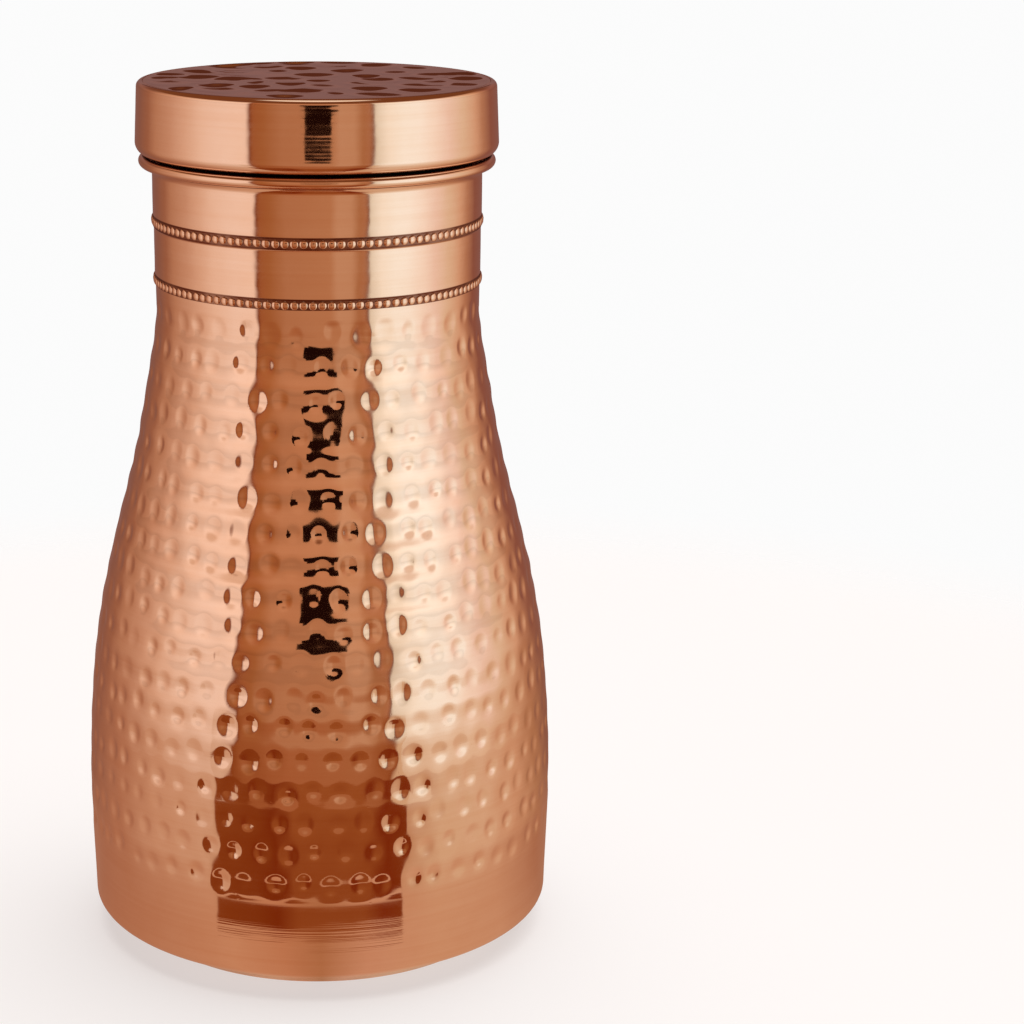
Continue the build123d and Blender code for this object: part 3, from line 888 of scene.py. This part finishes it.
ROOM_HIGH = [
    (-180, (0.15, 0.05, 0.026)), (-150, (0.16, 0.055, 0.03)), (-138, (0.21, 0.09, 0.051)),
    (-120, (0.42, 0.21, 0.13)), (-90, (0.76, 0.53, 0.42)), (-70, (0.88, 0.71, 0.62)),
    (-43.9, (0.9, 0.72, 0.63)), (-43.2, (0.16, 0.033, 0.01)), (-41, (0.37, 0.13, 0.051)),
    (-25, (0.5, 0.24, 0.13)), (6, (0.5, 0.24, 0.13)), (14, (0.57, 0.31, 0.19)),
    (33.2, (0.43, 0.19, 0.1)), (35, (0.17, 0.038, 0.012)), (36.2, (0.77, 0.75, 0.66)),
    (45, (0.96, 0.93, 0.86)), (66, (0.98, 0.95, 0.9)), (90, (0.86, 0.71, 0.63)),
    (110, (0.7, 0.49, 0.37)), (128, (0.42, 0.2, 0.11)), (140, (0.22, 0.082, 0.048)),
    (150, (0.16, 0.055, 0.03)), (180, (0.15, 0.05, 0.026)),
]
# The table as the copper mirrors it, a painted reflection that the table glows with, in three zones by
# distance from the jug
TABLE_BEHIND_LEFT = [(-180, (0.29, 0.15, 0.13)), (-140, (0.29, 0.12, 0.076)), (-110, (0.44, 0.21, 0.13))]
TABLE_BEHIND_RIGHT = [(145, (0.27, 0.11, 0.07)), (180, (0.29, 0.15, 0.13))]
TABLE_FAR = [
    *TABLE_BEHIND_LEFT,
    (-85, (0.62, 0.39, 0.28)), (-46.5, (0.69, 0.49, 0.38)), (-45.5, (0.25, 0.06, 0.013)),
    (-38, (0.32, 0.1, 0.032)), (-15, (0.39, 0.14, 0.057)), (20, (0.39, 0.15, 0.063)),
    (33, (0.32, 0.1, 0.032)), (36, (0.25, 0.06, 0.013)), (37, (0.64, 0.45, 0.3)),
    (60, (0.75, 0.58, 0.43)), (85, (0.73, 0.55, 0.39)), (105, (0.64, 0.41, 0.27)),
    (125, (0.46, 0.23, 0.13)), *TABLE_BEHIND_RIGHT,
]
TABLE_MIDDLE = [
    *TABLE_BEHIND_LEFT,
    (-85, (0.58, 0.34, 0.23)), (-57, (0.62, 0.39, 0.27)), (-53.5, (0.58, 0.35, 0.23)),
    (-52.5, (0.25, 0.06, 0.013)), (-32, (0.23, 0.05, 0.01)), (-22, (0.2, 0.032, 0.006)),
    (-12, (0.31, 0.09, 0.024)), (22, (0.31, 0.09, 0.024)), (32, (0.2, 0.029, 0.006)),
    (41, (0.22, 0.044, 0.009)), (42, (0.53, 0.3, 0.18)), (60, (0.67, 0.48, 0.33)),
    (85, (0.69, 0.49, 0.35)), (105, (0.62, 0.37, 0.24)), (125, (0.44, 0.22, 0.12)),
    *TABLE_BEHIND_RIGHT,
]
TABLE_NEAR = [
    (-180, (0.35, 0.16, 0.11)), (-120, (0.4, 0.18, 0.11)), (-45, (0.58, 0.31, 0.19)),
    (-20, (0.53, 0.25, 0.14)), (0, (0.44, 0.2, 0.1)), (25, (0.58, 0.31, 0.2)), (60, (0.61, 0.36, 0.23)),
    (90, (0.58, 0.33, 0.21)), (120, (0.42, 0.19, 0.11)), (180, (0.35, 0.16, 0.11)),
]
# What lies over the room's colours, and the rise in degrees over which it takes over: the softboxes'
# dimmer upper part, the dusk straight behind and the dark above it, which only the lid mirrors to the
# front, the ceiling, and the softbox in its middle
FADED, FADED_RISE = (0.52, 0.28, 0.15), (13, 20)
DUSK, DUSK_RISE = (0.228, 0.120, 0.110), (2, 4)
DUSK_TOP, DUSK_TOP_RISE = (0.085, 0.023, 0.012), (11.3, 12.8)
CEILING, CEILING_RISE = (0.16, 0.053, 0.019), (24, 32)
OVERHEAD, OVERHEAD_RISE = (0.86, 0.74, 0.62), (68, 76)
LOW_TO_HIGH = (12, 24)
STRAIGHT_BEHIND = (0.965, 0.985)  # cosines of the turn away from straight behind

# The table's glowing painted reflection: where its zones end, in metres from the axis, and its dark runner
# in front, between two azimuths, which only the copper sees. The runner is darkest beside the jug and has
# two bands in the near zone's colours
NEAR_ENDS = (0.09, 0.15)
MIDDLE_ENDS = (0.262, 0.278)
RUNNER = (-52.8, 41.5)
RUNNER_DEEP = (0.193, 0.024, 0.0)
RUNNER_DEEP_ENDS = (0.11, 0.26)
RUNNER_FIRST_BAND_ENDS = (0.092, 0.096)
RUNNER_SECOND_BAND = (0.1095, 0.1165)
SOFT_EDGE = 0.001
TABLE_RADIUS = 0.43  # where the pale table has faded into the white
MIRRORED_RADIUS = 0.75  # and where the mirrored one has faded into the room
MIRROR_CENTRE = -0.034  # y of the point that the table's azimuths are taken round
TABLE_PALE = (0.36, 0.36, 0.36, 1)
TABLE_GLOW = (0.57, 0.57, 0.57, 1)
BACKDROP = (0.97, 0.97, 0.97)

# The black card behind the camera, as (x, z): wide at the top, with a narrower tongue hanging from it
CARD = [
    (-0.103, 0.165), (0.105, 0.165), (0.125, 0.186), (0.118, 0.200), (0.180, 0.210), (0.180, 0.300),
    (-0.145, 0.300), (-0.145, 0.210), (-0.103, 0.200),
]
CARD_Y = -0.80
CARD_BLACK = (0.012, 0.003, 0.002, 1)

# The camera's lens in millimetres, its place, and its turns in degrees
LENS = 92.15
SHIFT = 0.0935
EYE = (0, -0.6514, 0.2898)
LOOK_DOWN = 15.50
LOOK_RIGHT = 2.12
ROLL = 0.30


def azimuth_share(azimuth):
    """A place on the azimuth ramps: 0.5 is the front, -Y, and the right is positive."""
    return azimuth / 360 + 0.5


def by_azimuth(tree, place, stops):
    """The ramp of an azimuth table."""
    return ramp(tree, place, [(azimuth_share(azimuth), colour) for azimuth, colour in stops])


def azimuth_place(tree, x, y):
    """Where a direction lies on the azimuth ramps."""
    azimuth = maths(tree, "ARCTAN2", x, times(tree, y, -1.0))
    return plus(tree, maths(tree, "DIVIDE", azimuth, 2 * math.pi), 0.5)


def room_colour(tree, place, rise):
    """The room's colour by place round the azimuth and rise in degrees."""
    low, high = by_azimuth(tree, place, ROOM_LOW), by_azimuth(tree, place, ROOM_HIGH)
    room = mix_colours(tree, span(tree, rise, *LOW_TO_HIGH), low, high)
    room = mix_colours(tree, span(tree, rise, *FADED_RISE, 0, 0.5), room, FADED, "DARKEN")
    behind = span(tree, maths(tree, "COSINE", times(tree, place, 2 * math.pi)), *STRAIGHT_BEHIND)
    for colour, rises in ((DUSK, DUSK_RISE), (DUSK_TOP, DUSK_TOP_RISE)):
        room = mix_colours(tree, times(tree, behind, span(tree, rise, *rises)), room, colour)
    room = mix_colours(tree, span(tree, rise, *CEILING_RISE), room, CEILING)
    return mix_colours(tree, span(tree, rise, *OVERHEAD_RISE), room, OVERHEAD)


def studio_world():
    """The room to the copper, dimmest just above the horizon, and plain white to the camera."""
    world = bpy.data.worlds.new("studio")
    bpy.context.scene.world = world
    world.use_nodes = True
    tree = world.node_tree
    tree.nodes.clear()
    way = add_node(tree, "ShaderNodeTexCoord").outputs["Generated"]
    x, y, z = add_node(tree, "ShaderNodeSeparateXYZ", Vector=way).outputs
    rise = times(tree, maths(tree, "ARCSINE", z), 180 / math.pi)
    room = room_colour(tree, azimuth_place(tree, x, y), rise)
    seen = add_node(tree, "ShaderNodeLightPath").outputs["Is Camera Ray"]
    colour = mix_colours(tree, seen, room, BACKDROP)
    shade = plus(tree, span(tree, rise, -1.0, 0.3, 1.0, 0.90), span(tree, rise, 0.3, 13, 0, 0.22))
    strength = maths(tree, "MAXIMUM", times(tree, shade, opposite(tree, seen)), seen)
    light = add_node(tree, "ShaderNodeBackground", Color=colour, Strength=strength)
    add_node(tree, "ShaderNodeOutputWorld", Surface=light.outputs[0])


def mirrored_table(tree, x, y, far):
    """The colour of the painted reflection that the table glows with to the copper, and where its dark
    runner is.
    """
    turn = azimuth_place(tree, x, maths(tree, "SUBTRACT", y, MIRROR_CENTRE))
    near_colour, far_colour, middle_colour = (
        by_azimuth(tree, turn, stops) for stops in (TABLE_NEAR, TABLE_FAR, TABLE_MIDDLE)
    )
    far_colour = mix_colours(tree, span(tree, far, *MIDDLE_ENDS, 1, 0), far_colour, middle_colour)
    runner = inside_band(tree, turn, azimuth_share(RUNNER[0]), azimuth_share(RUNNER[1]), SOFT_EDGE)
    first_band = span(tree, far, *RUNNER_FIRST_BAND_ENDS, 1, 0)
    second_band = inside_band(tree, far, *RUNNER_SECOND_BAND, SOFT_EDGE)
    bands = maths(tree, "MAXIMUM", second_band, first_band)
    beside = times(tree, span(tree, far, *NEAR_ENDS, 1, 0), opposite(tree, runner))
    deep = times(tree, runner, span(tree, far, *RUNNER_DEEP_ENDS, 0.30, 0))
    far_colour = mix_colours(tree, deep, far_colour, RUNNER_DEEP)
    near = plus(tree, times(tree, bands, runner), beside)
    return mix_colours(tree, near, far_colour, near_colour), runner


def table_material():
    """Pale and fading into the white around it to the camera; to the copper it glows with a painted
    reflection of darker wood.
    """
    material, tree = new_material("pale_table")
    place = add_node(tree, "ShaderNodeTexCoord").outputs["Object"]
    x, y, _ = add_node(tree, "ShaderNodeSeparateXYZ", Vector=place).outputs
    far = distance(tree, x, y)
    painted_reflection, runner = mirrored_table(tree, x, y, far)
    # To glossy rays the table glows with this painted reflection instead of being lit
    reflection_glow = add_node(tree, "ShaderNodeEmission", Color=painted_reflection, Strength=1.0)
    pale = add_node(tree, "ShaderNodeBsdfDiffuse", Color=TABLE_PALE)
    glow = add_node(tree, "ShaderNodeEmission", Color=TABLE_GLOW, Strength=1.0)
    pale = add_node(tree, "ShaderNodeAddShader", i0=pale.outputs[0], i1=glow.outputs[0])
    clear = add_node(tree, "ShaderNodeBsdfTransparent")
    pale_fade = span(tree, far, TABLE_RADIUS * 0.7, TABLE_RADIUS)
    fade_start = span(tree, runner, 0, 1, 0.13, 0.36)
    bright_fade = span(tree, far, fade_start, MIRRORED_RADIUS - 0.03)
    path = add_node(tree, "ShaderNodeLightPath")
    pale, reflection_glow = (
        add_node(tree, "ShaderNodeMixShader", i0=fade, i1=shader.outputs[0], i2=clear.outputs[0])
        for fade, shader in ((pale_fade, pale), (bright_fade, reflection_glow))
    )
    surface = add_node(
        tree, "ShaderNodeMixShader", i0=path.outputs["Is Glossy Ray"], i1=pale.outputs[0],
        i2=reflection_glow.outputs[0],
    )
    add_node(tree, "ShaderNodeOutputMaterial", Surface=surface.outputs[0])
    return material


def flat_polygon(name, outline, material):
    """A flat polygon with one face."""
    mesh = bpy.data.meshes.new(name)
    mesh.from_pydata(outline, [], [list(range(len(outline)))])
    mesh.materials.append(material)
    polygon = bpy.data.objects.new(name, mesh)
    bpy.context.scene.collection.objects.link(polygon)
    return polygon


def table_top():
    """A plain table under the jug."""
    angles = round_angles(96)
    rim = np.stack([np.cos(angles), np.sin(angles), np.zeros(len(angles))], 1) * MIRRORED_RADIUS
    table = flat_polygon("table", rim.tolist(), table_material())
    table.location.z = CAD_BOX[0].z


def dark_card():
    """A black card behind the camera, which the copper mirrors. The camera doesn't see it."""
    material, tree = new_material("black_card")
    black = add_node(tree, "ShaderNodeEmission", Color=CARD_BLACK, Strength=1.0)
    add_node(tree, "ShaderNodeOutputMaterial", Surface=black.outputs[0])
    card = flat_polygon("card", [(x, CARD_Y, z) for x, z in CARD], material)
    card.visible_camera = False
    card.visible_diffuse = False
    card.visible_shadow = False


def soft_light():
    """A broad overhead light for the table and its shadow. The copper doesn't mirror it."""
    light = bpy.data.lights.new("overhead", "SUN")
    light.energy = 2.9
    light.angle = math.radians(70)
    lamp = bpy.data.objects.new("overhead", light)
    lamp.rotation_euler = (math.radians(-14), math.radians(10), 0)
    lamp.visible_glossy = False
    bpy.context.scene.collection.objects.link(lamp)


def camera():
    """In front, above the lid, looking down; the jug stands left of the middle of the frame."""
    data = bpy.data.cameras.new("camera")
    data.sensor_width = 36
    data.lens = LENS
    data.shift_x = SHIFT
    eye = bpy.data.objects.new("camera", data)
    eye.location = EYE
    eye.rotation_euler = (math.radians(90 - LOOK_DOWN), 0, 0)
    eye.rotation_euler.rotate_axis("Y", math.radians(-LOOK_RIGHT))
    eye.rotation_euler.rotate_axis("Z", math.radians(-ROLL))
    bpy.context.scene.collection.objects.link(eye)
    bpy.context.scene.camera = eye


camera()
studio_world()
soft_light()
table_top()
dark_card()

hammered_body()
base_disc()
neck_sleeve()
rolled_wire()
bead_ring("upper_beads", "upper_bead_ring", NECK_RADIUS, UPPER_RING_HEIGHT)
bead_ring("lower_beads", "lower_bead_ring", COLLAR_RADIUS, LOWER_RING_HEIGHT)
tumbler_sheet()
hammered_disc()
lip_strip()

bpy.context.scene.view_settings.view_transform = "Standard"
